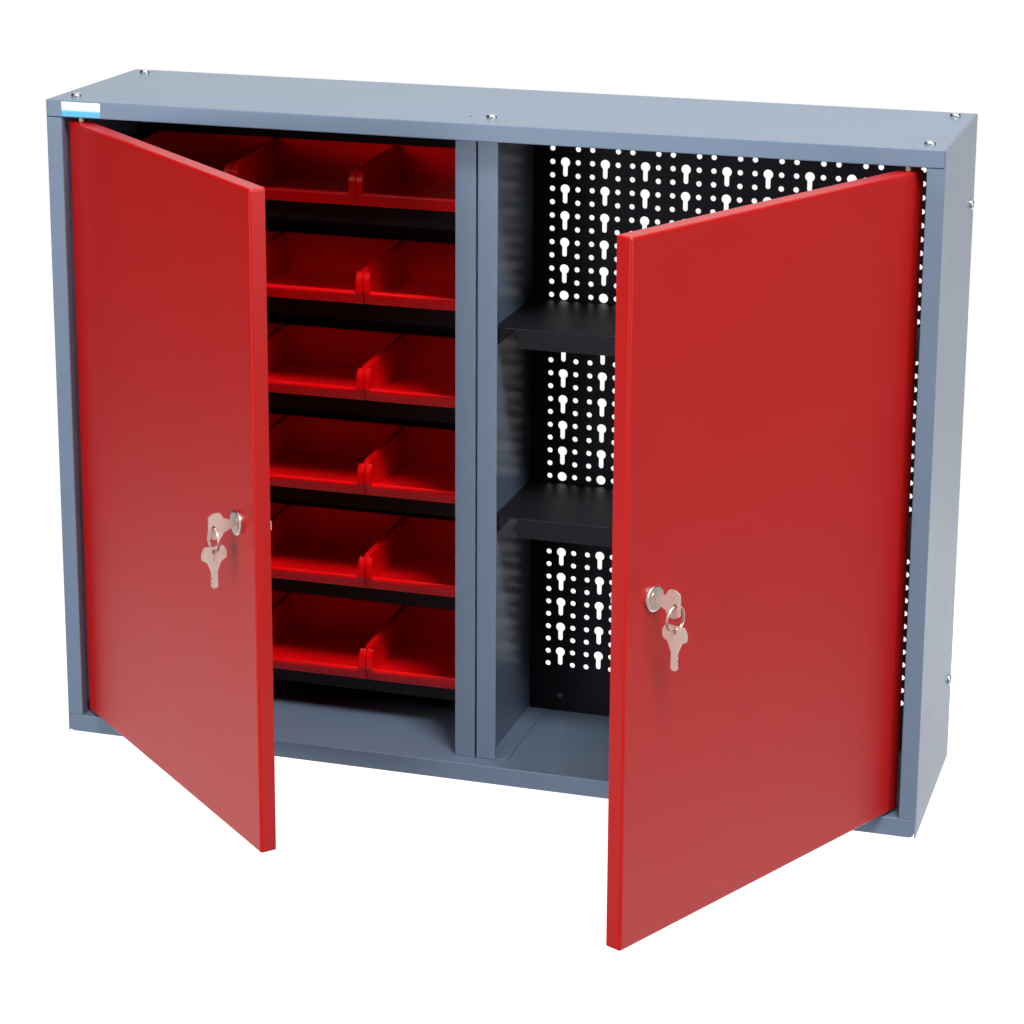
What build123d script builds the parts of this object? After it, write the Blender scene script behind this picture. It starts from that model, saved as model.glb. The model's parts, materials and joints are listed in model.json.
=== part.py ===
from build123d import *
import math
import os

# A wall tool cabinet of folded sheet steel: a left bay with rows of open-front bins, a right bay
# with a perforated tool panel and two shelves, and two hinged doors with cylinder locks.
# The origin is on the wall plane, at the centre of the four wall screws. +X is to the right as
# seen from the front, +Y goes into the wall and +Z is up.

# Carcass
WIDTH = 800.0
HEIGHT = 600.0
DEPTH = 192.0
SHEET = 1.0
FRONT_Y = -DEPTH
TOP_Z = HEIGHT / 2
BASE_Z = -HEIGHT / 2
SIDE_X = WIDTH / 2
SEAM = 0.4
SIDE_GAP = 0.2
BEND_R = 0.9
DRILL = 5.0
INNER_TOP_Z = TOP_Z - 2.5 * SHEET
FASCIA = 15.0
FASCIA_RETURN = 14.0
FLOOR_RISE = 16.5
FLOOR_Z = BASE_Z + FLOOR_RISE
POST = 15.0
POST_RETURN = 10.0
SIDE_FLANGE = 25.0
REAR_POST = 14.0
RAIL = 40.0
RAIL_BASE = 43.0
FRONT_CORNER = 5.0

# Wall screws
WALL_HOLE_X = 350.0
WALL_HOLE_Z = 272.0
WALL_HOLE_R = 4.0

# Divider
STRIP_Y = FRONT_Y + 16.0
DIVIDER_BACK_Y = -2.5
LEFT_STRIP = (-21.7, -3.2)
RIGHT_STRIP = (-1.3, 16.4)
LEFT_WEB_X = -4.2
RIGHT_WEB_X = 9.2
STRIP_HEM = 7.0
TOP_FLANGE_Y = STRIP_Y + 4.0
LEFT_FLANGE_X = -24.0
RIGHT_FLANGE_X = -2.2
DIVIDER_FOOT = 17.6

# Perforated panel
PANEL_Y = FRONT_Y + 147.0
PANEL_GAP = 0.5
PANEL_LEFT = RIGHT_WEB_X + PANEL_GAP
PANEL_RIGHT = SIDE_X - SHEET - PANEL_GAP
BRACKET = (11.0, 38.0)
PITCH_X = 37.12
PITCH_Z = 12.31
KEYHOLE_X = 39.4
KEYHOLE_Z = 243.6
KEYHOLE_COLUMNS = 10
KEYHOLE_ROWS = 20
KEYHOLE_HEAD_R = 4.35
SLOT_R = 2.2
SLOT_DROP = 11.0
ROUND_OFFSET = 11.9
ROUND_ROWS = 41
LOWEST_DOT = (KEYHOLE_X, -267.3)
ROUND_R = 2.5
PANEL_SEAM_DROP = 2.5

# Tool shelves
TOOL_SHELF_Z = (116.0, -57.5)
TOOL_SHELF_Y = FRONT_Y + 31.0
TOOL_SHELF_LIP = 18.0
TOOL_SHELF_INSET = 21.8
TOOL_SHELF_HEM = 8.0
TOOL_SHELF_REAR = 10.0
TOOL_SHELF_FLANGE_IN = 12.0

# Bins and their shelves
BIN_ROWS = 6
BIN_COLUMNS = 3
ROW_PITCH = 90.0
TOP_ROW_Z = 207.9
BIN_Y = FRONT_Y + 62.0
BIN_DEPTH = 114.0
BIN_WIDTH = 119.0
BIN_PITCH = 120.0
TOP_ROW_SEAM = -130.5
LOWER_ROW_SHIFT = 6.0
BIN_WALL = 2.0
BIN_RIM = 6.0
BIN_RIM_DEPTH = 5.0
BIN_LIP = 12.5
BIN_LEAN = 6.0
BIN_LIP_ROUND = 2.6
BIN_SIDE = 32.3
BIN_BACK = 37.0
BIN_ROUND = 12.0
BIN_SHELF_Y = FRONT_Y + 96.0
BIN_SHELF_LIP = 22.5
BIN_SHELF_FLANGE = 12.0
BIN_CLEARANCE = 0.2
NOTCH = (5.0, 4.0)

# Doors
DOOR_LENGTH = 370.5
DOOR_HEIGHT = 562.0
DOOR_THICK = 14.0
DOOR_MID_Z = -0.5
PIN_X = 369.0
PIN_Y = FRONT_Y + DOOR_THICK / 2
PIN_EDGE = 14.0
PIN_R = 1.5
PIN_INSIDE = 12.0
PIN_PROUD = {1: 12.0, -1: 2.5}
COLLAR_R = 4.0
COLLAR = 3.0
BUSH_R = 2.2
BUSH_GAP = 0.2
RUNNING = 0.05
LEFT_OPEN = 42.0
RIGHT_OPEN = 64.3
DOOR_ROUND = 2.5

# Locks and keys
LOCK_ALONG = 325.0
LOCK_Z = -1.3
ROSETTE_R = 10.3
ROSETTE_THICK = 3.0
ROSETTE_ROUND = 1.2
BARREL_R = 9.0
BARREL_PROUD = 1.5
PLUG_R = 6.0
PLUG_PROUD = 0.4
SLOT = (2.3, 6.1)
SLOT_DEPTH = 17.5
CAM_LENGTH = 38.0
CAM_WIDTH = 12.0
CAM_GAP = 4.5
CAM_THICK = 2.0
CAM_NUT_R = 4.5
CAM_NUT = 1.5
BUMPER = (7.0, 8.0, 1.2)
BUMPER_ROUND = 1.5
BUMPER_EDGE = 0.4
BUMPER_RAISE = 3.5
KEY_THICK = 2.0
KEY_FLAT = 17.0
KEY_BOW = (22.0, 13.0)
KEY_WIDEST = (4.5, 10.5)
KEY_SHOULDER = 12.4
KEY_NECK = 21.0
KEY_BLADE = 5.5
KEY_LENGTH = 35.5
KEY_TIP = 1.3
KEY_ROUND = 2.3
KEY_HOLE_R = 2.0
KEY_HOLE_IN = 4.3
KEY_STAND_OFF = 26.5
KEY_HOLE_DROP = 1.0
KEY_CUTS = (0.5, 0.8, 0.4)
KEY_CUT_STEP = 3.6
RING_R = 10.0
RING_WIRE_R = 0.7
SPARE_YAW = {-1: 0.0, 1: 4.0}

# Screws and label
SCREW_HEAD_R = 4.8
SCREW_HEAD = 2.6
SCREW_R = 2.0
SCREW_LENGTH = 7.0
SCREW_DOME = 0.75 * SCREW_HEAD
SCREW_CLEARANCE = 0.1
TOP_SCREW_X = 383.0
TOP_SCREW_Y = (FRONT_Y + 27.0, FRONT_Y + 174.0)
DIVIDER_SCREW = (4.7, FRONT_Y + 36.0)
SPARE_HOLE = (-14.3, FRONT_Y + 36.0)
SIDE_SCREW_Y = FRONT_Y + 174.0
SIDE_SCREW_Z = (223.0, -219.0)
LABEL = (37.5, 13.0, 0.3)
LABEL_ROUND = 1.0
LABEL_X = -366.0
LABEL_Z = 292.5


def write(builder, name):
    """Label a finished piece and write its STEP file."""
    builder.part.label = name
    export_step(builder.part, f"parts/{name}.step")


def block(x, y, z, mode=Mode.ADD):
    """A box between two limits on each axis, for the folded sheet pieces."""
    centre = ((x[0] + x[1]) / 2, (y[0] + y[1]) / 2, (z[0] + z[1]) / 2)
    with Locations(centre):
        Box(abs(x[1] - x[0]), abs(y[1] - y[0]), abs(z[1] - z[0]), mode=mode)


def drill(plane, points, radius):
    """Round holes through a sheet, sketched on a plane and cut both ways."""
    with BuildSketch(plane) as holes:
        with Locations(points):
            Circle(radius)
    extrude(holes.sketch, amount=DRILL, both=True, mode=Mode.SUBTRACT)


def screw_points():
    return [(x, y) for x in (-TOP_SCREW_X, TOP_SCREW_X) for y in TOP_SCREW_Y]


def top_panel():
    edge = SIDE_X - SHEET - SIDE_GAP
    fascia_z = TOP_Z - FASCIA
    with BuildPart() as panel:
        block((-edge, edge), (FRONT_Y, 0), (TOP_Z - SHEET, TOP_Z))
        block((-edge, edge), (FRONT_Y, FRONT_Y + SHEET), (fascia_z, TOP_Z))
        block((-edge, edge), (FRONT_Y, FRONT_Y + FASCIA_RETURN), (fascia_z, fascia_z + SHEET))
        block((-edge, edge), (-SHEET, 0), (TOP_Z - RAIL, TOP_Z))
        long_edges = panel.edges().filter_by(Axis.X).group_by(Axis.Y)[0]
        fillet(long_edges, BEND_R)
        drill(Plane.XY.offset(TOP_Z), screw_points() + [DIVIDER_SCREW], SCREW_R + SCREW_CLEARANCE)
        drill(Plane.XY.offset(TOP_Z), [SPARE_HOLE], SCREW_R)
        pins = [(-PIN_X, PIN_Y), (PIN_X, PIN_Y)]
        drill(Plane.XY.offset(fascia_z), pins, PIN_R + RUNNING)
        wall = [(-WALL_HOLE_X, WALL_HOLE_Z), (WALL_HOLE_X, WALL_HOLE_Z)]
        drill(Plane.XZ, wall, WALL_HOLE_R)
    write(panel, "top_panel")


def bottom_panel():
    edge = SIDE_X - SHEET - SIDE_GAP
    with BuildPart() as panel:
        block((-edge, edge), (FRONT_Y, 0), (FLOOR_Z - SHEET, FLOOR_Z))
        with BuildSketch(Plane.XZ.offset(-FRONT_Y)) as apron:
            with Locations((0, BASE_Z + FLOOR_RISE / 2)):
                Rectangle(2 * edge, FLOOR_RISE)
            fillet(apron.vertices().group_by(Axis.Y)[0], FRONT_CORNER)
        extrude(amount=-SHEET)
        block((-edge, edge), (-SHEET, 0), (FLOOR_Z - SHEET, BASE_Z + RAIL_BASE))
        front_top = panel.edges().filter_by(Axis.X).group_by(Axis.Y)[0].sort_by(Axis.Z)[-1]
        fillet(front_top, BEND_R)
        pins = [(-PIN_X, PIN_Y), (PIN_X, PIN_Y)]
        drill(Plane.XY.offset(FLOOR_Z), pins, PIN_R + RUNNING)
        wall = [(-WALL_HOLE_X, -WALL_HOLE_Z), (WALL_HOLE_X, -WALL_HOLE_Z)]
        drill(Plane.XZ, wall, WALL_HOLE_R)
    write(panel, "bottom_panel")


def side_panel(side, name):
    outer = side * SIDE_X
    inner = side * (SIDE_X - SHEET)
    post = side * (SIDE_X - POST)
    low = FLOOR_Z + SEAM
    high = TOP_Z - FASCIA - SEAM
    flange = side * (SIDE_X - SIDE_FLANGE)
    flange_y = (FRONT_Y + FASCIA_RETURN + 2 * SHEET, -2 * SHEET)
    with BuildPart() as panel:
        block((inner, outer), (FRONT_Y, 0), (BASE_Z, TOP_Z))
        block((post, outer), (FRONT_Y, FRONT_Y + SHEET), (low, high))
        block((post, post + side * SHEET), (FRONT_Y, FRONT_Y + POST_RETURN), (low, high))
        block((flange, outer), flange_y, (TOP_Z - 2 * SHEET, TOP_Z - SHEET))
        block((flange, outer), flange_y, (FLOOR_Z - 2 * SHEET, FLOOR_Z - SHEET))
        rear_x = (side * (SIDE_X - REAR_POST), outer)
        block(rear_x, (-SHEET, 0), (BASE_Z + RAIL_BASE + SEAM, TOP_Z - RAIL - SEAM))
        post_edge = panel.edges().filter_by(Axis.Z).group_by(Axis.Y)[0]
        fillet(post_edge.sort_by(Axis.X)[0 if side > 0 else -1], BEND_R)
        outer_edges = panel.edges().filter_by(Axis.Z).group_by(Axis.Y)[0]
        fillet(outer_edges.sort_by(Axis.X)[-1 if side > 0 else 0], BEND_R)
        screws = [(side * TOP_SCREW_X, y) for y in TOP_SCREW_Y]
        drill(Plane.XY.offset(TOP_Z - 1.5 * SHEET), screws, SCREW_R + SCREW_CLEARANCE)
        side_screws = [(SIDE_SCREW_Y, z) for z in SIDE_SCREW_Z]
        drill(Plane.YZ.offset(inner), side_screws, SCREW_R + SCREW_CLEARANCE)
    write(panel, name)


def left_divider():
    low = FLOOR_Z + SEAM
    high = TOP_Z - SHEET
    strip_top = TOP_Z - FASCIA - SEAM
    web = (LEFT_WEB_X, LEFT_WEB_X + SHEET)
    hem = (LEFT_STRIP[0], LEFT_STRIP[0] + STRIP_HEM)
    with BuildPart() as divider:
        block(web, (STRIP_Y + SHEET, DIVIDER_BACK_Y), (low, high))
        block(LEFT_STRIP, (STRIP_Y, STRIP_Y + SHEET), (low, high))
        block(hem, (STRIP_Y, STRIP_Y + 2 * SHEET), (low, strip_top))
        block((LEFT_FLANGE_X, web[1]), (DIVIDER_BACK_Y - SHEET, DIVIDER_BACK_Y), (low, high))
        block((LEFT_FLANGE_X, web[1]), (TOP_FLANGE_Y, DIVIDER_BACK_Y), (high - SHEET, high))
        drill(Plane.XY.offset(high), [SPARE_HOLE], SCREW_R)
    write(divider, "divider_left_panel")


def right_divider():
    low = FLOOR_Z + SEAM
    high = TOP_Z - SHEET
    strip_top = TOP_Z - FASCIA - SEAM
    web = (RIGHT_WEB_X - SHEET, RIGHT_WEB_X)
    foot = (web[0], RIGHT_WEB_X + DIVIDER_FOOT)
    hem = (RIGHT_STRIP[1] - STRIP_HEM, RIGHT_STRIP[1])
    with BuildPart() as divider:
        block(web, (STRIP_Y + SHEET, DIVIDER_BACK_Y), (FLOOR_Z, high))
        block(RIGHT_STRIP, (STRIP_Y, STRIP_Y + SHEET), (low, high))
        block(hem, (STRIP_Y, STRIP_Y + 2 * SHEET), (low, strip_top))
        block(foot, (STRIP_Y + 2 * SHEET, PANEL_Y - SHEET), (FLOOR_Z, FLOOR_Z + SHEET))
        block((RIGHT_FLANGE_X, web[1]), (TOP_FLANGE_Y, DIVIDER_BACK_Y), (high - SHEET, high))
        drill(Plane.XY.offset(high), [DIVIDER_SCREW], SCREW_R + SCREW_CLEARANCE)
    write(divider, "divider_right_panel")


def back_panel():
    edges = (-SIDE_X + SHEET + PANEL_GAP, LEFT_FLANGE_X - SHEET)
    with BuildPart() as panel:
        block(edges, (-2 * SHEET, -SHEET), (FLOOR_Z + SEAM, INNER_TOP_Z))
    write(panel, "back_panel")


def keyhole_wire():
    """One keyhole round its head's centre: a round head with a slot below it."""
    neck_z = -math.sqrt(KEYHOLE_HEAD_R**2 - SLOT_R**2)
    end_z = -SLOT_DROP
    with BuildLine() as keyhole:
        Line((SLOT_R, neck_z), (SLOT_R, end_z))
        ThreePointArc((SLOT_R, end_z), (0, end_z - SLOT_R), (-SLOT_R, end_z))
        Line((-SLOT_R, end_z), (-SLOT_R, neck_z))
        ThreePointArc((-SLOT_R, neck_z), (0, KEYHOLE_HEAD_R), (SLOT_R, neck_z))
    return keyhole.wire()


def perforated_panel(low, high, name):
    """One level of the tool panel. Keyholes that meet its lower edge keep only their head."""
    columns = [KEYHOLE_X + PITCH_X * i for i in range(KEYHOLE_COLUMNS)]
    heads = [KEYHOLE_Z - 2 * PITCH_Z * k for k in range(KEYHOLE_ROWS)]
    rows = [KEYHOLE_Z + PITCH_Z * (1 - k) for k in range(ROUND_ROWS)]
    slot = SLOT_DROP + SLOT_R
    whole = [z for z in heads if low < z - slot and z + KEYHOLE_HEAD_R < high]
    head_only = [z for z in heads if z - slot < low < z - KEYHOLE_HEAD_R]
    dots = [(x + s * ROUND_OFFSET, z) for x in columns for s in (-1, 1) for z in rows]
    dots.append(LOWEST_DOT)
    centre = Location(((PANEL_LEFT + PANEL_RIGHT) / 2, (low + high) / 2))
    edge = Wire.make_rect(PANEL_RIGHT - PANEL_LEFT, high - low).moved(centre)
    keyhole = keyhole_wire()
    head = Wire.make_circle(KEYHOLE_HEAD_R)
    dot = Wire.make_circle(ROUND_R)
    holes = [keyhole.moved(Location((x, z))) for x in columns for z in whole]
    holes += [head.moved(Location((x, z))) for x in columns for z in head_only]
    holes += [dot.moved(Location(point)) for point in dots if low < point[1] < high]
    with BuildPart() as panel:
        with BuildSketch(Plane.XZ.offset(-PANEL_Y)):
            add(Face(edge, holes))
        extrude(amount=-SHEET, clean=False)
    write(panel, name)


def panel_brackets():
    """Two upright angles behind the perforated panel, on the divider and on the side."""
    low = FLOOR_Z + SEAM
    high = INNER_TOP_Z
    back = PANEL_Y + SHEET
    walls = ((RIGHT_WEB_X, 1), (SIDE_X - SHEET, -1))
    with BuildPart() as brackets:
        for wall, inward in walls:
            block((wall, wall + inward * SHEET), (back, back + BRACKET[1]), (low, high))
            block((wall, wall + inward * BRACKET[0]), (back, back + SHEET), (low, high))
        screws = [(SIDE_SCREW_Y, z) for z in SIDE_SCREW_Z]
        drill(Plane.YZ.offset(SIDE_X - SHEET), screws, SCREW_R + SCREW_CLEARANCE)
    write(brackets, "panel_brackets")


def tool_shelf(top, name):
    left = RIGHT_WEB_X
    right = SIDE_X - SHEET
    lip_x = (left + TOOL_SHELF_INSET, right - TOOL_SHELF_INSET)
    back = PANEL_Y - PANEL_GAP
    flange_y = (TOOL_SHELF_Y + TOOL_SHELF_FLANGE_IN, back)
    lip_z = top - TOOL_SHELF_LIP
    with BuildPart() as shelf:
        block((left, right), (TOOL_SHELF_Y, back), (top - SHEET, top))
        block(lip_x, (TOOL_SHELF_Y, TOOL_SHELF_Y + SHEET), (lip_z, top))
        block(lip_x, (TOOL_SHELF_Y, TOOL_SHELF_Y + TOOL_SHELF_HEM), (lip_z, lip_z + SHEET))
        block((left, left + SHEET), flange_y, (lip_z, top))
        block((right - SHEET, right), flange_y, (lip_z, top))
        block(lip_x, (back - SHEET, back), (top - TOOL_SHELF_REAR, top))
        nose = shelf.edges().filter_by(Axis.X).group_by(Axis.Y)[0].sort_by(Axis.Z)[-1]
        fillet(nose, BEND_R)
    write(shelf, name)


def bin_seam(row):
    """The X of the seam between the two right-hand bins of a row."""
    return TOP_ROW_SEAM + (LOWER_ROW_SHIFT if row else 0.0)


def bin_shelf(row):
    top = TOP_ROW_Z - ROW_PITCH * row
    left = -SIDE_X + SHEET
    right = LEFT_WEB_X
    depth = (BIN_SHELF_Y, BIN_Y + BIN_DEPTH)
    flange_z = (top - BIN_SHELF_FLANGE, top)
    with BuildPart() as shelf:
        block((left, right), depth, (top - SHEET, top))
        block((left, right), (BIN_SHELF_Y, BIN_SHELF_Y + SHEET), (top - BIN_SHELF_LIP, top))
        block((left, left + SHEET), depth, flange_z)
        block((right - SHEET, right), depth, flange_z)
        nose = shelf.edges().filter_by(Axis.X).group_by(Axis.Y)[0].sort_by(Axis.Z)[-1]
        fillet(nose, BEND_R)
        for column in range(BIN_COLUMNS - 1):
            notch = bin_seam(row) - BIN_PITCH * column
            notch_x = (notch - NOTCH[0] / 2, notch + NOTCH[0] / 2)
            notch_y = (BIN_SHELF_Y - SHEET, BIN_SHELF_Y + SHEET)
            block(notch_x, notch_y, (top - NOTCH[1], top + SHEET), Mode.SUBTRACT)
    write(shelf, f"bin_shelf_{row + 1}")


def bin_box(row, column):
    """An open-front bin: a low leaning lip between two front fins with round tops."""
    base = TOP_ROW_Z - ROW_PITCH * row + BIN_CLEARANCE
    middle = bin_seam(row) + BIN_PITCH * (0.5 - column)
    half = BIN_WIDTH / 2
    mouth = half - BIN_RIM
    back = BIN_Y + BIN_DEPTH
    inside_front = BIN_Y + BIN_RIM_DEPTH
    inside_back = back - BIN_WALL
    lip = base + BIN_LIP
    over = base + 2 * BIN_BACK
    with BuildPart() as bin_part:
        with BuildSketch(Plane.YZ.offset(middle)) as outline:
            with BuildLine():
                Polyline(
                    (BIN_Y + BIN_LEAN, base),
                    (back, base),
                    (back, base + BIN_BACK),
                    (BIN_Y, base + BIN_SIDE),
                    (BIN_Y, lip),
                    close=True,
                )
            make_face()
            corner = outline.vertices().group_by(Axis.X)[0].sort_by(Axis.Y)[-1]
            fillet(corner, BIN_ROUND)
        extrude(amount=half, both=True)
        with BuildSketch(Plane.YZ.offset(middle)):
            with BuildLine():
                Polyline(
                    (inside_front + BIN_LEAN, base + BIN_WALL),
                    (inside_back, base + BIN_WALL),
                    (inside_back, over),
                    (inside_front, over),
                    (inside_front, lip),
                    close=True,
                )
            make_face()
        extrude(amount=half - BIN_WALL, both=True, mode=Mode.SUBTRACT)
        mouth_y = (BIN_Y - BIN_WALL, inside_front + BIN_WALL)
        block((middle - mouth, middle + mouth), mouth_y, (lip, over), Mode.SUBTRACT)
        long_edges = bin_part.edges().filter_by(Axis.X).filter_by(lambda edge: edge.length > mouth)
        at_lip = long_edges.filter_by_position(Axis.Z, lip - 1, lip + 1)
        fillet(at_lip.sort_by(Axis.Y)[0], BIN_LIP_ROUND)
    write(bin_part, f"bin_{row + 1}_{column + 1}")


def door_open(side):
    return math.radians(LEFT_OPEN if side < 0 else RIGHT_OPEN)


def door_point(side, along, inward, height):
    """A point given along the door from its pin, inward from the pin's plane, and by height."""
    angle = door_open(side)
    x = side * (PIN_X - along * math.cos(angle) - inward * math.sin(angle))
    y = PIN_Y - along * math.sin(angle) + inward * math.cos(angle)
    return (x, y, height)


def door_front(side, along, inward, height):
    """A plane parallel to the door: normal out of its face, Y up."""
    angle = door_open(side)
    outward = (side * math.sin(angle), -math.cos(angle), 0)
    across = (math.cos(angle), side * math.sin(angle), 0)
    return Plane(origin=door_point(side, along, inward, height), x_dir=across, z_dir=outward)


def door_shell(side, name):
    middle = DOOR_LENGTH / 2 - PIN_EDGE
    face = -DOOR_THICK / 2
    front = door_front(side, middle, face, DOOR_MID_Z)
    outward = Axis(front.origin, front.z_dir)
    with BuildPart() as shell:
        with BuildSketch(front):
            Rectangle(DOOR_LENGTH, DOOR_HEIGHT)
        extrude(amount=-DOOR_THICK)
        fillet(shell.edges().filter_by(outward), DOOR_ROUND)
        fillet(shell.faces().sort_by(outward)[-1].edges(), DOOR_ROUND)
        offset(amount=-SHEET, openings=shell.faces().sort_by(outward)[0])
        drill(door_front(side, LOCK_ALONG, face, LOCK_Z), [(0, 0)], BARREL_R)
        for end in (-1, 1):
            x, y, z = door_point(side, 0, 0, DOOR_MID_Z + end * DOOR_HEIGHT / 2)
            drill(Plane.XY.offset(z), [(x, y)], PIN_R)
    write(shell, name)


def door_liner(side, name):
    middle = DOOR_LENGTH / 2 - PIN_EDGE
    back = DOOR_THICK / 2
    with BuildPart() as liner:
        with BuildSketch(door_front(side, middle, back - SHEET, DOOR_MID_Z)):
            corner = DOOR_ROUND - SHEET
            RectangleRounded(DOOR_LENGTH - 2 * SHEET, DOOR_HEIGHT - 2 * SHEET, corner)
        extrude(amount=-SHEET)
        drill(door_front(side, LOCK_ALONG, back, LOCK_Z), [(0, 0)], BARREL_R)
    write(liner, name)


def hinge_pins(side, name):
    x, y, z = door_point(side, 0, 0, DOOR_MID_Z)
    with BuildPart() as pins:
        for up in (-1, 1):
            edge = z + up * DOOR_HEIGHT / 2
            with BuildSketch(Plane((x, y, edge - up * PIN_INSIDE))):
                Circle(PIN_R)
            extrude(amount=up * (PIN_INSIDE + PIN_PROUD[up]))
            with BuildSketch(Plane((x, y, edge - up * SHEET))):
                Circle(COLLAR_R)
                Circle(PIN_R, mode=Mode.SUBTRACT)
            extrude(amount=-up * COLLAR)
    write(pins, name)


def hinge_bushes(side, name):
    x, y, z = door_point(side, 0, 0, DOOR_MID_Z)
    top_gap = (z + DOOR_HEIGHT / 2 + BUSH_GAP, TOP_Z - FASCIA)
    foot_gap = (FLOOR_Z, z - DOOR_HEIGHT / 2 - BUSH_GAP)
    with BuildPart() as bushes:
        for low, high in (top_gap, foot_gap):
            with BuildSketch(Plane((x, y, low))):
                Circle(BUSH_R)
                Circle(PIN_R + RUNNING, mode=Mode.SUBTRACT)
            extrude(amount=high - low)
    write(bushes, name)


def door_bumper(side, name):
    along = DOOR_LENGTH - PIN_EDGE - BUMPER_EDGE - BUMPER[0] / 2
    with BuildPart() as bumper:
        with BuildSketch(door_front(side, along, DOOR_THICK / 2, LOCK_Z + BUMPER_RAISE)):
            RectangleRounded(BUMPER[0], BUMPER[1], BUMPER_ROUND)
        extrude(amount=-BUMPER[2])
    write(bumper, name)


def lock_housing(side, name):
    face = door_front(side, LOCK_ALONG, -DOOR_THICK / 2, LOCK_Z)
    with BuildPart() as housing:
        with BuildSketch(face):
            Circle(ROSETTE_R)
        extrude(amount=ROSETTE_THICK)
        fillet(housing.faces().sort_by(Axis(face.origin, face.z_dir))[-1].edges(), ROSETTE_ROUND)
        with BuildSketch(face):
            Circle(BARREL_R)
        extrude(amount=-DOOR_THICK - BARREL_PROUD)
        with BuildSketch(face):
            Circle(PLUG_R + RUNNING)
        extrude(amount=2 * DOOR_THICK, both=True, mode=Mode.SUBTRACT)
    write(housing, name)


def lock_cylinder(side, name):
    """The turning plug with its key slot, and the cam on its inner end."""
    face = door_front(side, LOCK_ALONG, -DOOR_THICK / 2, LOCK_Z)
    reach = CAM_LENGTH - CAM_WIDTH
    plug_length = ROSETTE_THICK + PLUG_PROUD + DOOR_THICK + CAM_GAP
    with BuildPart() as cylinder:
        with BuildSketch(face.offset(ROSETTE_THICK + PLUG_PROUD)):
            Circle(PLUG_R)
        extrude(amount=-plug_length)
        with BuildSketch(face.offset(-DOOR_THICK - CAM_GAP)):
            with Locations((0, reach / 2)):
                SlotCenterToCenter(reach, CAM_WIDTH, rotation=90)
        extrude(amount=-CAM_THICK)
        with BuildSketch(face.offset(-DOOR_THICK - CAM_GAP - CAM_THICK)):
            RegularPolygon(CAM_NUT_R, 6)
        extrude(amount=-CAM_NUT)
        with BuildSketch(face.offset(ROSETTE_THICK + PLUG_PROUD)):
            Rectangle(*SLOT)
        extrude(amount=-SLOT_DEPTH, mode=Mode.SUBTRACT)
    write(cylinder, name)


def key(plane, hole_x, name):
    """A flat key: X across the bow, Y from the bow's flat end towards the tip."""
    blade = KEY_BLADE / 2
    right = [
        (KEY_FLAT / 2, 0),
        (KEY_BOW[0] / 2, KEY_WIDEST[0]),
        (KEY_BOW[0] / 2, KEY_WIDEST[1]),
        (KEY_SHOULDER / 2, KEY_BOW[1]),
        (blade, KEY_NECK),
        (blade, KEY_LENGTH - KEY_TIP),
        (blade - KEY_TIP, KEY_LENGTH),
    ]
    left = [(-x, y) for x, y in reversed(right)]
    with BuildPart() as key_part:
        with BuildSketch(plane) as outline:
            with BuildLine():
                Polyline(*right, *left, close=True)
            make_face()
            fillet(outline.vertices().filter_by_position(Axis.Y, 0, KEY_NECK), KEY_ROUND)
            with Locations((hole_x, KEY_HOLE_IN)):
                Circle(KEY_HOLE_R, mode=Mode.SUBTRACT)
            for step, cut in enumerate(KEY_CUTS, 1):
                with Locations((blade, KEY_NECK + KEY_CUT_STEP * (step - 0.25))):
                    Circle(cut, mode=Mode.SUBTRACT)
        extrude(amount=KEY_THICK / 2, both=True)
    write(key_part, name)


def key_hole(side):
    """The centre of the inserted key's bow hole."""
    out = -DOOR_THICK / 2 - KEY_STAND_OFF + KEY_HOLE_IN
    return door_point(side, LOCK_ALONG, out, LOCK_Z - KEY_HOLE_DROP)


def inserted_key(side, name):
    face = door_front(side, LOCK_ALONG, -DOOR_THICK / 2 - KEY_STAND_OFF, LOCK_Z)
    plane = Plane(origin=face.origin, x_dir=(0, 0, -1), z_dir=face.x_dir)
    key(plane, KEY_HOLE_DROP, name)


def key_ring(side, name):
    x, y, z = key_hole(side)
    face = door_front(side, LOCK_ALONG, 0, 0)
    ring_plane = Plane(origin=(x, y, z - RING_R), x_dir=face.x_dir, z_dir=face.z_dir)
    with BuildPart() as ring:
        with BuildSketch(Plane(origin=ring_plane.origin, x_dir=face.x_dir, z_dir=(0, 0, 1))):
            with Locations((RING_R, 0)):
                Circle(RING_WIRE_R)
        revolve(axis=Axis(ring_plane.origin, ring_plane.z_dir))
    write(ring, name)


def spare_key(side, name):
    x, y, z = key_hole(side)
    face = door_front(side, LOCK_ALONG, 0, 0)
    yaw = SPARE_YAW[side]
    across = face.x_dir.rotate(Axis.Z, yaw)
    outward = face.z_dir.rotate(Axis.Z, yaw)
    top = (x, y, z - 2 * RING_R + KEY_HOLE_IN)
    key(Plane(origin=top, x_dir=outward, z_dir=across), 0, name)


def pan_screw(plane):
    """A domed pan-head screw whose head stands on a plane."""
    with BuildSketch(plane) as head:
        Circle(SCREW_HEAD_R)
    extrude(head.sketch, amount=SCREW_HEAD)
    with BuildSketch(plane) as shank:
        Circle(SCREW_R)
    extrude(shank.sketch, amount=-SCREW_LENGTH)


def dome(builder, axis, side=-1):
    """Round the top of every head in a group of screws."""
    fillet(builder.faces().filter_by(GeomType.PLANE).group_by(axis)[side].edges(), SCREW_DOME)


def top_screws():
    with BuildPart() as screws:
        for x, y in screw_points() + [DIVIDER_SCREW]:
            pan_screw(Plane((x, y, TOP_Z)))
        dome(screws, Axis.Z)
    write(screws, "top_screws")


def side_screws():
    with BuildPart() as screws:
        for side in (-1, 1):
            for z in SIDE_SCREW_Z:
                pan_screw(Plane(origin=(side * SIDE_X, SIDE_SCREW_Y, z), z_dir=(side, 0, 0)))
        dome(screws, Axis.X, -1)
        dome(screws, Axis.X, 0)
    write(screws, "side_screws")


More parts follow.
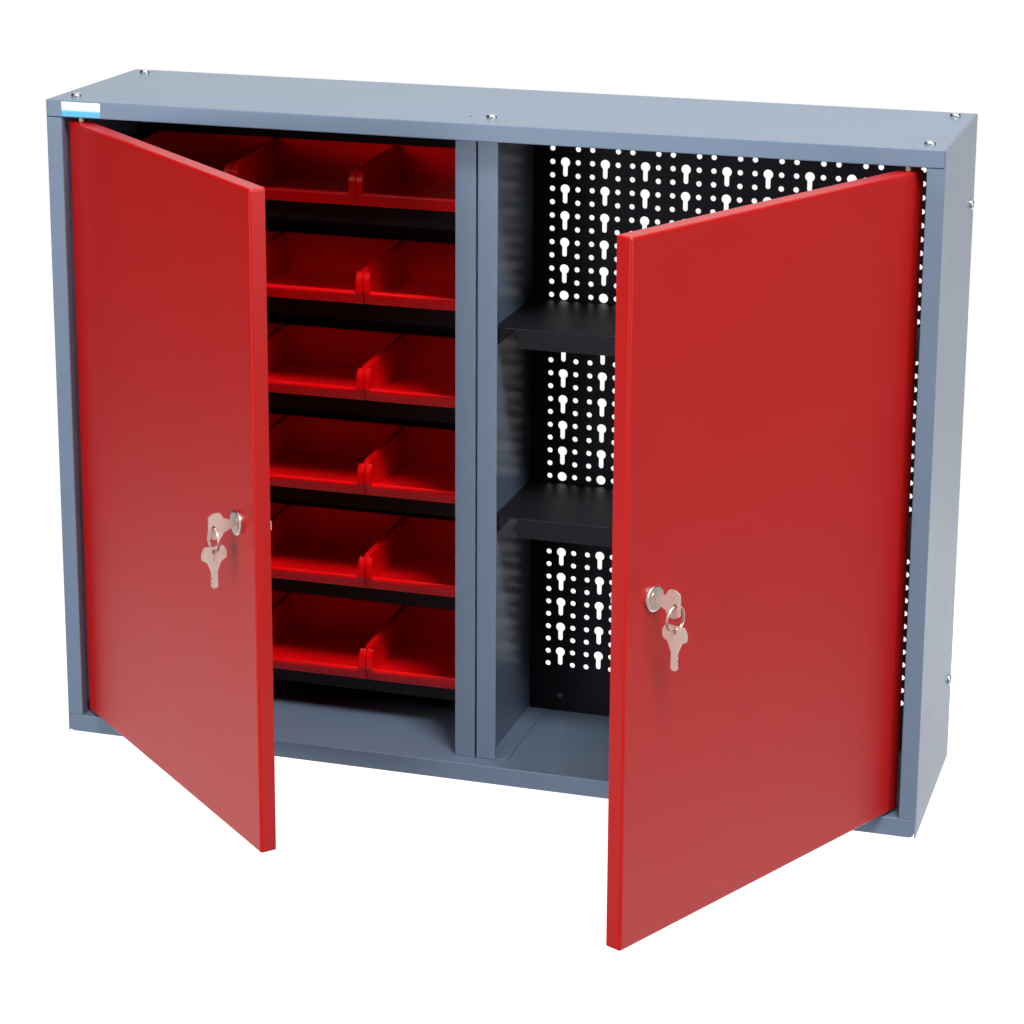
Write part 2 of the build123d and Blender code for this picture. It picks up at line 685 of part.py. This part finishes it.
def label():
    with BuildPart() as label_part:
        face = Plane(origin=(LABEL_X, FRONT_Y, LABEL_Z), x_dir=(1, 0, 0), z_dir=(0, -1, 0))
        with BuildSketch(face):
            RectangleRounded(LABEL[0], LABEL[1], LABEL_ROUND)
        extrude(amount=LABEL[2])
    write(label_part, "blank_label")


def main():
    os.makedirs("parts", exist_ok=True)
    top_panel()
    bottom_panel()
    left_divider()
    right_divider()
    back_panel()
    seams = [top - PANEL_SEAM_DROP for top in TOOL_SHELF_Z]
    levels = [INNER_TOP_Z, *seams, FLOOR_Z + SEAM]
    for high, low, word in zip(levels, levels[1:], ("upper", "middle", "lower")):
        perforated_panel(low, high - SEAM, f"{word}_perforated_panel")
    panel_brackets()
    tool_shelf(TOOL_SHELF_Z[0], "upper_tool_shelf")
    tool_shelf(TOOL_SHELF_Z[1], "lower_tool_shelf")
    for row in range(BIN_ROWS):
        bin_shelf(row)
        for column in range(BIN_COLUMNS):
            bin_box(row, column)
    for side, word in ((-1, "left"), (1, "right")):
        side_panel(side, f"{word}_side_panel")
        door_shell(side, f"{word}_door_shell")
        door_liner(side, f"{word}_door_liner")
        door_bumper(side, f"{word}_door_bumper")
        hinge_pins(side, f"{word}_hinge_pins")
        hinge_bushes(side, f"{word}_hinge_bushes")
        lock_housing(side, f"{word}_lock_housing")
        lock_cylinder(side, f"{word}_lock_cylinder")
        inserted_key(side, f"{word}_inserted_key")
        key_ring(side, f"{word}_key_ring")
        spare_key(side, f"{word}_spare_key")
    top_screws()
    side_screws()
    label()


main()
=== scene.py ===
"""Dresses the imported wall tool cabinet: paint, plastic, plate, split rings and the studio."""

import json
import math

import bpy
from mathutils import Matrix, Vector


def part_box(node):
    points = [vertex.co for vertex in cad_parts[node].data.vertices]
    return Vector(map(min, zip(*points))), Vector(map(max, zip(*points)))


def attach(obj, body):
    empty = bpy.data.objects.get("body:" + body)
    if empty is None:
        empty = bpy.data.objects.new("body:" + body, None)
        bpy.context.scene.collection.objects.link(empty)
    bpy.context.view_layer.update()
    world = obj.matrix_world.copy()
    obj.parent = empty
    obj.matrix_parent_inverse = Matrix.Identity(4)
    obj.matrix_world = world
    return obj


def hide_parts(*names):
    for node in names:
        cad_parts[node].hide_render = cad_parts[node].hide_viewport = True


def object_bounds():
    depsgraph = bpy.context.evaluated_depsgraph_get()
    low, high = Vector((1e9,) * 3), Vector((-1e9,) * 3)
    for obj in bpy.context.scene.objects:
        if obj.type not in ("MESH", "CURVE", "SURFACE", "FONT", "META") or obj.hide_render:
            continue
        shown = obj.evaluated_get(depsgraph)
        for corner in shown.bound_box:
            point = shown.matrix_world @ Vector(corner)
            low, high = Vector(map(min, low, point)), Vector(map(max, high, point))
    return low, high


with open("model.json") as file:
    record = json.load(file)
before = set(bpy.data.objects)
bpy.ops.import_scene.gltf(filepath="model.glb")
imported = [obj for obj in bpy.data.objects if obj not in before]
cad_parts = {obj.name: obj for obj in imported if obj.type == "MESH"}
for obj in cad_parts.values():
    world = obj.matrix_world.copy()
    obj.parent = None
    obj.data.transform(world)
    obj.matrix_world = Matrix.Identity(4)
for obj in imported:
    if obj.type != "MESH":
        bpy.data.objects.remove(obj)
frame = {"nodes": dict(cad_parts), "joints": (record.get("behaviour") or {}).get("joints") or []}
CAD_BOX = [list(corner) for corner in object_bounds()]
NODES = frame["nodes"]
JOINTS = {joint["name"]: joint for joint in frame["joints"]}

bl_info = {
    "name": "Wall Tool Cabinet",
    "version": (1, 0, 0),
    "blender": (4, 5, 0),
    "location": "View3D > Sidebar > Tool Cabinet",
    "description": "Finishes and studio for a wall tool cabinet with bins and two doors",
    "category": "Object",
}

MM = 0.001
SIDES = ("left", "right")
ROUGHNESS_DRIFT = 0.03
GRAIN_STRENGTH = 0.6
LABEL_BAND = (0.3, 0.55)
# The split rings: where the wire starts, and the share of its length where it steps to turn two.
RING_STEPS = 96
RING_TURNS = 2
RING_START = 0.1
RING_CROSSING = (0.42, 0.58)
RING_SPACING = 2.1
# A colour Mix node repeats its socket names, so its factor, colours and result go by number.
MIX_FACTOR, MIX_LOW, MIX_HIGH = 0, 6, 7
MIX_RESULT = 2
# Where the room glows for what mirrors it: a direction, how near to it the glow starts and is
# full, and its strength.
GLOWS = (
    ((0.0, 1.0, 0.0), (0.70, 0.93), 0.80),
    ((0.0, 0.93, 0.37), (0.80, 0.98), 0.75),
    ((-0.35, -0.93, 0.0), (0.75, 0.95), 0.75),
)
FLOOR_RADIUS = 7.5
FLOOR_SIDES = 96
FLOOR_MIDDLE_Y = 2.5
# The painted pool of light on the floor lies a little to the left.
POOL_SHIFT = (0.45, 0.0, 0.0)
# Distances from the pool's middle, and the levels there: how far the paper is lifted to white
# where it is seen, and where it is mirrored, and its tone, a painted pool of light that is pale
# near the middle and darker away from it.
SEEN_LIFT = ((2.0, 4.0), (0.65, 1.0))
MIRRORED_LIFT = ((2.6, 5.6), (0.60, 0.0))
PAINTED_LIGHT_POOL = ((2.6, 4.2), (0.9, 0.12))
# Painted shade darkens the floor's tone in front of the cabinet, except far to the sides, and the
# floor far behind glows for what mirrors it. Each gives two distances and the levels there.
PAINTED_SHADE_FRONT = ((-0.6, 0.3), (0.1, 1.0))
PAINTED_SHADE_SIDE = ((1.6, 2.8), (0.1, 1.0))
BRIGHT_BACK = ((2.2, 3.8), (0.0, 0.95))
PAPER_FIBRE_MM = 40.0
PAPER_TONE = (0.98, 1.02)
# Each lamp: its name, place, size and power, and whether glossy paint mirrors it.
LAMP_TARGET = (0.0, -0.1, 0.0)
LAMPS = (
    ("Key", (1.35, -1.85, 3.35), (1.0, 1.0), 145.0, True),
    ("Top", (0.0, 0.3, 3.5), (3.0, 3.0), 76.0, True),
    ("Front top", (-0.3, -3.0, 2.4), (1.5, 1.5), 22.0, True),
    ("Front fill", (-1.6, -4.0, 0.45), (2.5, 1.5), 142.0, False),
    ("Front strip", (-1.45, -4.0, -0.45), (0.6, 0.5), 6.0, True),
    ("Right fill", (3.8, -1.6, 0.8), (2.0, 2.0), 75.0, True),
)
CAMERA_LENS = 95.44
CAMERA_SHIFT = -0.17
CAMERA_PLACE = (0.69346, -2.36096, 0.68737)
CAMERA_TURN = (75.8404, -0.3177, 16.972)
CARCASS = (
    "top_panel",
    "bottom_panel",
    "left_side_panel",
    "right_side_panel",
    "divider_left_panel",
    "divider_right_panel",
)
TOOL_PANELS = (
    "upper_perforated_panel",
    "middle_perforated_panel",
    "lower_perforated_panel",
    "panel_brackets",
)


def from_hex(text):
    """A linear RGBA colour from an sRGB hex value."""
    channels = [int(text[i : i + 2], 16) / 255 for i in (1, 3, 5)]
    linear = [c / 12.92 if c <= 0.04045 else ((c + 0.055) / 1.055) ** 2.4 for c in channels]
    return (*linear, 1.0)


def per_mm(size):
    """The noise scale whose features are about this many millimetres wide."""
    return 1.0 / (size * MM)


def add(tree, kind, inputs=None, **settings):
    """Add a node with its settings, and set or link its inputs by name or number."""
    node = tree.nodes.new(kind)
    for name, value in settings.items():
        setattr(node, name, value)
    for name, value in (inputs or {}).items():
        if isinstance(value, bpy.types.NodeSocket):
            tree.links.new(value, node.inputs[name])
        else:
            node.inputs[name].default_value = value
    return node


def dress(nodes, material):
    """Give CAD nodes a material in every slot."""
    for name in nodes:
        slots = NODES[name].material_slots
        if not slots:
            NODES[name].data.materials.append(material)
        for slot in slots:
            slot.material = material


def skin(name, colour, roughness, patch_mm, grain_mm, depth_mm, drift=0.04, **shader):
    """A material whose colour and roughness drift over patches, over a fine grain in relief.

    The colour is a hex value or a function that makes a colour socket from the tree and place.
    """
    material = bpy.data.materials.new(name)
    material.use_nodes = True
    tree = material.node_tree
    tree.nodes.clear()
    place = add(tree, "ShaderNodeTexCoord").outputs["Object"]
    patches = add(
        tree, "ShaderNodeTexNoise", {"Vector": place, "Scale": per_mm(patch_mm), "Detail": 3.0}
    ).outputs[0]
    value = add(
        tree,
        "ShaderNodeMapRange",
        {"Value": patches, "To Min": 1.0 - drift, "To Max": 1.0 + drift},
    )
    tint = add(
        tree,
        "ShaderNodeHueSaturation",
        {
            "Color": colour(tree, place) if callable(colour) else from_hex(colour),
            "Value": value.outputs[0],
        },
    )
    rough = add(
        tree,
        "ShaderNodeMapRange",
        {
            "Value": patches,
            "To Min": roughness - ROUGHNESS_DRIFT,
            "To Max": roughness + ROUGHNESS_DRIFT,
        },
    )
    grain = add(
        tree, "ShaderNodeTexNoise", {"Vector": place, "Scale": per_mm(grain_mm), "Detail": 2.0}
    )
    bump = add(
        tree,
        "ShaderNodeBump",
        {"Height": grain.outputs[0], "Strength": GRAIN_STRENGTH, "Distance": depth_mm * MM},
    )
    body = add(
        tree,
        "ShaderNodeBsdfPrincipled",
        {
            "Base Color": tint.outputs[0],
            "Roughness": rough.outputs[0],
            "Normal": bump.outputs[0],
            **{name.replace("_", " "): value for name, value in shader.items()},
        },
    )
    add(tree, "ShaderNodeOutputMaterial", {"Surface": body.outputs[0]})
    return material


def powder_coat(name, colour, roughness, gloss=0.5):
    """Epoxy-polyester powder coat, baked on steel: a satin skin with a faint orange peel.

    The peel is about 2 mm wide and a hundredth of a millimetre deep, so it only softens
    the edges of what the paint mirrors. A lower gloss makes a flatter, sootier paint.
    """
    return skin(
        name,
        colour,
        roughness,
        patch_mm=60.0,
        grain_mm=2.2,
        depth_mm=0.012,
        IOR=1.5,
        Specular_IOR_Level=gloss,
    )


def moulded_plastic(name, colour, roughness):
    """Injection-moulded polymer: glossy, and gently uneven where the wall shrank in the mould.

    Light sinks in for a few millimetres, red farthest, so thin walls and edges glow a warm red.
    """
    return skin(
        name,
        colour,
        roughness,
        patch_mm=30.0,
        grain_mm=7.0,
        depth_mm=0.02,
        drift=0.05,
        IOR=1.49,
        Specular_IOR_Level=0.45,
        Subsurface_Weight=0.8,
        Subsurface_Radius=(1.0, 0.06, 0.04),
        Subsurface_Scale=6.0 * MM,
    )


def plated_metal(name, colour, roughness, mirror=1.0):
    """Nickel or zinc plate on steel: a mirror dulled by fine tumbling marks.

    The marks are finer than can show, so they are drawn 0.8 mm wide. The mirror share is
    below 1 where they are so dense that they scatter light like a matt skin.
    """
    return skin(
        name,
        colour,
        roughness,
        patch_mm=2.5,
        grain_mm=0.8,
        depth_mm=0.008,
        drift=0.09,
        Metallic=mirror,
    )


def film_label(tree, place):
    """Pale gloss film with a plain tinted band along its lower part, and nothing printed on it."""
    low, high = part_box("blank_label")
    height = add(tree, "ShaderNodeSeparateXYZ", {0: place}).outputs["Z"]
    band = add(
        tree,
        "ShaderNodeMapRange",
        {
            "Value": height,
            "From Min": low.z + LABEL_BAND[0] * (high.z - low.z),
            "From Max": low.z + LABEL_BAND[1] * (high.z - low.z),
        },
        interpolation_type="SMOOTHSTEP",
    )
    colour = add(
        tree,
        "ShaderNodeMix",
        {
            MIX_FACTOR: band.outputs[0],
            MIX_LOW: from_hex("#4FA9CC"),
            MIX_HIGH: from_hex("#D6EEF2"),
        },
        data_type="RGBA",
    )
    return colour.outputs[MIX_RESULT]


class CabinetFinish(bpy.types.PropertyGroup):
    """Colours and finishes that a user would change."""

    frame_colour: bpy.props.StringProperty(
        name="Frame", description="Powder coat of the carcass", default="#67788D"
    )
    door_colour: bpy.props.StringProperty(
        name="Doors", description="Powder coat of the doors", default="#AC110F"
    )
    bin_colour: bpy.props.StringProperty(
        name="Bins", description="Moulded plastic of the bins", default="#FF0A12"
    )
    panel_colour: bpy.props.StringProperty(
        name="Tool panel",
        description="Powder coat of the tool panel and shelves",
        default="#110F16",
    )
    nickel_colour: bpy.props.StringProperty(
        name="Nickel", description="Plating of the locks, keys and rings", default="#F0E2D8"
    )
    frame_roughness: bpy.props.FloatProperty(
        name="Frame roughness",
        description="Roughness of the carcass paint",
        default=0.32,
        min=0.05,
        max=1.0,
        subtype="FACTOR",
    )
    door_roughness: bpy.props.FloatProperty(
        name="Door roughness",
        description="Roughness of the door paint",
        default=0.38,
        min=0.05,
        max=1.0,
        subtype="FACTOR",
    )


class CabinetSizes(bpy.types.PropertyGroup):
    """Sizes of the pieces that are made here."""

    ring_radius: bpy.props.FloatProperty(
        name="Ring radius",
        description="Mean radius of a split ring",
        default=10.0 * MM,
        unit="LENGTH",
    )
    ring_wire: bpy.props.FloatProperty(
        name="Ring wire",
        description="Radius of a split ring's wire",
        default=0.6 * MM,
        unit="LENGTH",
    )
    floor_drop: bpy.props.FloatProperty(
        name="Floor drop",
        description="Height from the floor to the cabinet's base",
        default=1.1,
        unit="LENGTH",
    )


class CABINET_OT_carcass(bpy.types.Operator):
    """Paint the folded steel carcass and the divider blue-grey"""

    bl_idname = "cabinet.carcass"
    bl_label = "Carcass"

    def execute(self, context):
        finish = context.scene.cabinet_finish
        paint = powder_coat("Blue-grey powder coat", finish.frame_colour, finish.frame_roughness)
        dress(CARCASS, paint)
        return {"FINISHED"}


class CABINET_OT_tool_panel(bpy.types.Operator):
    """Paint the perforated panel, the tool shelves and the bin shelves near-black"""

    bl_idname = "cabinet.tool_panel"
    bl_label = "Tool panel and shelves"

    def execute(self, context):
        colour = context.scene.cabinet_finish.panel_colour
        panel = powder_coat("Black powder coat, satin", colour, roughness=0.48, gloss=0.18)
        shelf = powder_coat("Black powder coat, shelf", colour, roughness=0.50, gloss=0.35)
        dress(TOOL_PANELS, panel)
        dress(("upper_tool_shelf", "lower_tool_shelf", "back_panel"), shelf)
        dress([name for name in NODES if name.startswith("bin_shelf_")], shelf)
        return {"FINISHED"}


class CABINET_OT_bins(bpy.types.Operator):
    """Give the bins their glossy red plastic"""

    bl_idname = "cabinet.bins"
    bl_label = "Bins"

    def execute(self, context):
        colour = context.scene.cabinet_finish.bin_colour
        plastic = moulded_plastic("Polypropylene, moulded", colour, roughness=0.22)
        bins = [name for name in NODES if name.startswith("bin_") and "shelf" not in name]
        dress(bins, plastic)
        return {"FINISHED"}


class CABINET_OT_doors(bpy.types.Operator):
    """Paint both doors red, inside and out"""

    bl_idname = "cabinet.doors"
    bl_label = "Doors"

    def execute(self, context):
        finish = context.scene.cabinet_finish
        paint = powder_coat("Red powder coat", finish.door_colour, finish.door_roughness)
        dress([f"{side}_door_{part}" for side in SIDES for part in ("shell", "liner")], paint)
        return {"FINISHED"}


class CABINET_OT_locks(bpy.types.Operator):
    """Plate the locks and keys, and wind a split ring for each pair of keys"""

    bl_idname = "cabinet.locks"
    bl_label = "Locks, keys and rings"

    def execute(self, context):
        colour = context.scene.cabinet_finish.nickel_colour
        nickel = plated_metal("Nickel plate", colour, roughness=0.30)
        dull = plated_metal("Nickel plate, tumbled", "#DCC3B9", roughness=0.42, mirror=0.6)
        for parts, plate in (
            (("lock_housing", "lock_cylinder", "key_ring"), nickel),
            (("inserted_key", "spare_key"), dull),
        ):
            dress([f"{side}_{part}" for side in SIDES for part in parts], plate)
        for side in SIDES:
            ring = split_ring(side, context.scene.cabinet_sizes)
            ring.data.materials.append(nickel)
            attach(ring, f"{side}_ring")
            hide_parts(f"{side}_key_ring")
        return {"FINISHED"}


class CABINET_OT_fittings(bpy.types.Operator):
    """Finish the screws, hinge pins, bushes, bumpers and the blank label"""

    bl_idname = "cabinet.fittings"
    bl_label = "Screws, hinges and label"

    def execute(self, context):
        zinc = plated_metal("Zinc plate, bright", "#C9CCCF", roughness=0.34)
        nylon = moulded_plastic("Nylon, natural", "#CFA79C", roughness=0.45)
        pale = ("hinge_bushes", "door_bumper")
        dress(["top_screws", "side_screws", "left_hinge_pins", "right_hinge_pins"], zinc)
        dress([f"{side}_{part}" for side in SIDES for part in pale], nylon)
        film = skin(
            "Film label, blank",
            film_label,
            roughness=0.22,
            patch_mm=8.0,
            grain_mm=3.0,
            depth_mm=0.004,
            IOR=1.5,
        )
        dress(["blank_label"], film)
        return {"FINISHED"}


def split_ring(side, sizes):
    """A split ring of two close turns, in the plane of the CAD ring."""
    low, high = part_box(f"{side}_key_ring")
    centre = (low + high) / 2
    across = Vector(JOINTS[f"{side}_ring_swing"]["axis"]).normalized()
    up = Vector((0.0, 0.0, 1.0))
    normal = across.cross(up)
    spacing = RING_SPACING * sizes.ring_wire
    leave, arrive = RING_CROSSING
    curve = bpy.data.curves.new(f"{side}_split_ring", "CURVE")
    curve.dimensions = "3D"
    curve.bevel_depth = sizes.ring_wire
    curve.bevel_resolution = 3
    curve.use_fill_caps = True
    spline = curve.splines.new("POLY")
    spline.points.add(RING_STEPS)
    for index in range(RING_STEPS + 1):
        share = index / RING_STEPS
        angle = 2 * math.pi * (RING_TURNS * share + RING_START)
        crossed = max(0.0, min(1.0, (share - leave) / (arrive - leave)))
        drift = (crossed - 0.5) * spacing
        spoke = across * math.cos(angle) + up * math.sin(angle)
        point = centre + spoke * sizes.ring_radius + normal * drift
        spline.points[index].co = (*point, 1.0)
    ring = bpy.data.objects.new(f"{side}_split_ring", curve)
    bpy.context.collection.objects.link(ring)
    return ring


def studio_world(scene):
    """A room that is white where it is seen, and glows softly for what mirrors it.

    It glows behind and in front of the cabinet. Elsewhere it is dark, so the paint mirrors the
    pale floor near it and little else.
    """
    world = bpy.data.worlds.new("Studio")
    world.use_nodes = True
    tree = world.node_tree
    tree.nodes.clear()
    path = add(tree, "ShaderNodeLightPath").outputs
    towards = add(tree, "ShaderNodeTexCoord").outputs["Generated"]
    level = add(
        tree,
        "ShaderNodeMath",
        {0: path["Is Camera Ray"], 1: path["Is Transmission Ray"]},
        operation="MAXIMUM",
    )
    for direction, near, strength in GLOWS:
        facing = add(
            tree, "ShaderNodeVectorMath", {0: towards, 1: direction}, operation="DOT_PRODUCT"
        )
        glow = add(
            tree,
            "ShaderNodeMapRange",
            {
                "Value": facing.outputs["Value"],
                "From Min": near[0],
                "From Max": near[1],
                "To Max": strength,
            },
            interpolation_type="SMOOTHSTEP",
        )
        level = add(
            tree,
            "ShaderNodeMath",
            {0: glow.outputs[0], 1: path["Is Glossy Ray"], 2: level.outputs[0]},
            operation="MULTIPLY_ADD",
        )
    capped = add(tree, "ShaderNodeMath", {0: level.outputs[0], 1: 1.0}, operation="MINIMUM")
    white = add(
        tree,
        "ShaderNodeBackground",
        {"Color": (1.0, 1.0, 1.0, 1.0), "Strength": capped.outputs[0]},
    )
    add(tree, "ShaderNodeOutputWorld", {"Surface": white.outputs[0]})
    scene.world = world


def floor_paper():
    """Seamless matt paper, lifted to white where seen; a painted pool of light keeps it pale near
    the cabinet.

    What mirrors the floor sees it lifted less, darkened by painted shade in front and bright far
    behind.
    """
    material = bpy.data.materials.new("Studio paper")
    material.use_nodes = True
    tree = material.node_tree
    tree.nodes.clear()
    place = add(tree, "ShaderNodeTexCoord").outputs["Object"]
    flat = add(
        tree,
        "ShaderNodeVectorMath",
        {0: place, 1: (1.0, 1.0, 0.0), 2: POOL_SHIFT},
        operation="MULTIPLY_ADD",
    )
    away = add(tree, "ShaderNodeVectorMath", {0: flat.outputs[0]}, operation="LENGTH")
    path = add(tree, "ShaderNodeLightPath").outputs
    axes = add(tree, "ShaderNodeSeparateXYZ", {0: place}).outputs
    aside = add(tree, "ShaderNodeMath", {0: axes["X"]}, operation="ABSOLUTE").outputs[0]
    seen, mirrored, colour, front, side, back = (
        add(
            tree,
            "ShaderNodeMapRange",
            {"Value": value, "From Min": near, "From Max": far, "To Min": first, "To Max": last},
            interpolation_type="SMOOTHSTEP",
        ).outputs[0]
        for value, ((near, far), (first, last)) in (
            (away.outputs["Value"], SEEN_LIFT),
            (away.outputs["Value"], MIRRORED_LIFT),
            (away.outputs["Value"], PAINTED_LIGHT_POOL),
            (axes["Y"], PAINTED_SHADE_FRONT),
            (aside, PAINTED_SHADE_SIDE),
            (axes["Y"], BRIGHT_BACK),
        )
    )
    # Painted shade: the tone and the mirrored lift are darkened in front of the cabinet, but not
    # far to its sides.
    front = add(tree, "ShaderNodeMath", {0: front, 1: side}, operation="MAXIMUM").outputs[0]
    # The paper's tone: the painted pool of light, times the painted shade in front.
    colour = add(tree, "ShaderNodeMath", {0: colour, 1: front}, operation="MULTIPLY").outputs[0]
    mirrored = add(
        tree, "ShaderNodeMath", {0: mirrored, 1: front, 2: back}, operation="MULTIPLY_ADD"
    ).outputs[0]
    shaded = add(tree, "ShaderNodeMath", {0: 1.0, 1: front}, operation="SUBTRACT").outputs[0]
    seen = add(tree, "ShaderNodeMath", {0: seen, 1: shaded}, operation="ADD").outputs[0]
    eye = add(
        tree,
        "ShaderNodeMath",
        {0: path["Is Camera Ray"], 1: path["Is Transmission Ray"]},
        operation="MAXIMUM",
    )
    for_eye = add(tree, "ShaderNodeMath", {0: eye.outputs[0], 1: seen}, operation="MULTIPLY")
    lift = add(
        tree,
        "ShaderNodeMath",
        {0: path["Is Glossy Ray"], 1: mirrored, 2: for_eye.outputs[0]},
        operation="MULTIPLY_ADD",
    )
    fibre = add(tree, "ShaderNodeTexNoise", {"Vector": place, "Scale": per_mm(PAPER_FIBRE_MM)})
    tone = add(
        tree,
        "ShaderNodeMapRange",
        {"Value": fibre.outputs[0], "To Min": PAPER_TONE[0], "To Max": PAPER_TONE[1]},
    )
    shade = add(tree, "ShaderNodeMath", {0: colour, 1: tone.outputs[0]}, operation="MULTIPLY")
    matt = add(tree, "ShaderNodeBsdfDiffuse", {"Color": shade.outputs[0]})
    glow = add(tree, "ShaderNodeEmission", {"Strength": lift.outputs[0]})
    both = add(tree, "ShaderNodeAddShader", {0: matt.outputs[0], 1: glow.outputs[0]})
    add(tree, "ShaderNodeOutputMaterial", {"Surface": both.outputs[0]})
    return material


def area_lamp(name, place, size, power, mirrored):
    """A soft white lamp aimed at the cabinet's middle, that shows in glossy paint or not."""
    lamp = bpy.data.lights.new(name, "AREA")
    lamp.shape = "RECTANGLE"
    lamp.size, lamp.size_y = size
    lamp.energy = power
    holder = bpy.data.objects.new(name, lamp)
    holder.location = place
    aim = Vector(LAMP_TARGET) - Vector(place)
    holder.rotation_euler = aim.to_track_quat("-Z", "Y").to_euler()
    holder.visible_camera = False
    holder.visible_glossy = mirrored
    bpy.context.collection.objects.link(holder)


def camera(scene):
    """A long lens from the right and a little above, with a small downward shift."""
    lens = bpy.data.cameras.new("Camera")
    lens.lens = CAMERA_LENS
    lens.sensor_width = 36.0
    lens.shift_y = CAMERA_SHIFT
    lens.clip_end = 50.0
    holder = bpy.data.objects.new("Camera", lens)
    holder.location = CAMERA_PLACE
    holder.rotation_euler = [math.radians(angle) for angle in CAMERA_TURN]
    bpy.context.collection.objects.link(holder)
    scene.camera = holder


class CABINET_OT_studio(bpy.types.Operator):
    """Set up the floor, the white world, the lamps and the camera"""

    bl_idname = "cabinet.studio"
    bl_label = "Studio"

    def execute(self, context):
        scene = context.scene
        level = CAD_BOX[0][2] - scene.cabinet_sizes.floor_drop
        turns = [2 * math.pi * step / FLOOR_SIDES for step in range(FLOOR_SIDES)]
        rim = [
            (FLOOR_RADIUS * math.cos(turn), FLOOR_MIDDLE_Y + FLOOR_RADIUS * math.sin(turn), level)
            for turn in turns
        ]
        mesh = bpy.data.meshes.new("studio_floor")
        mesh.from_pydata(rim, [], [range(FLOOR_SIDES)])
        mesh.materials.append(floor_paper())
        floor = bpy.data.objects.new("studio_floor", mesh)
        context.collection.objects.link(floor)
        studio_world(scene)
        for lamp in LAMPS:
            area_lamp(*lamp)
        camera(scene)
        scene.view_settings.view_transform = "Standard"
        return {"FINISHED"}


PIECES = (
    CABINET_OT_carcass,
    CABINET_OT_tool_panel,
    CABINET_OT_bins,
    CABINET_OT_doors,
    CABINET_OT_locks,
    CABINET_OT_fittings,
    CABINET_OT_studio,
)


class CABINET_PT_panel(bpy.types.Panel):
    """The cabinet's pieces and finishes"""

    bl_label = "Tool Cabinet"
    bl_idname = "CABINET_PT_panel"
    bl_space_type = "VIEW_3D"
    bl_region_type = "UI"
    bl_category = "Tool Cabinet"

    def draw(self, context):
        for group in (context.scene.cabinet_finish, context.scene.cabinet_sizes):
            for name in group.__annotations__:
                self.layout.prop(group, name)
        for piece in PIECES:
            self.layout.operator(piece.bl_idname)


CLASSES = (CabinetFinish, CabinetSizes, *PIECES, CABINET_PT_panel)


def register():
    for cls in CLASSES:
        bpy.utils.register_class(cls)
    bpy.types.Scene.cabinet_finish = bpy.props.PointerProperty(type=CabinetFinish)
    bpy.types.Scene.cabinet_sizes = bpy.props.PointerProperty(type=CabinetSizes)


def unregister():
    del bpy.types.Scene.cabinet_sizes
    del bpy.types.Scene.cabinet_finish
    for cls in reversed(CLASSES):
        bpy.utils.unregister_class(cls)


def main():
    register()
    for piece in PIECES:
        group, name = piece.bl_idname.split(".")
        getattr(getattr(bpy.ops, group), name)()


if __name__ == "__main__":
    main()
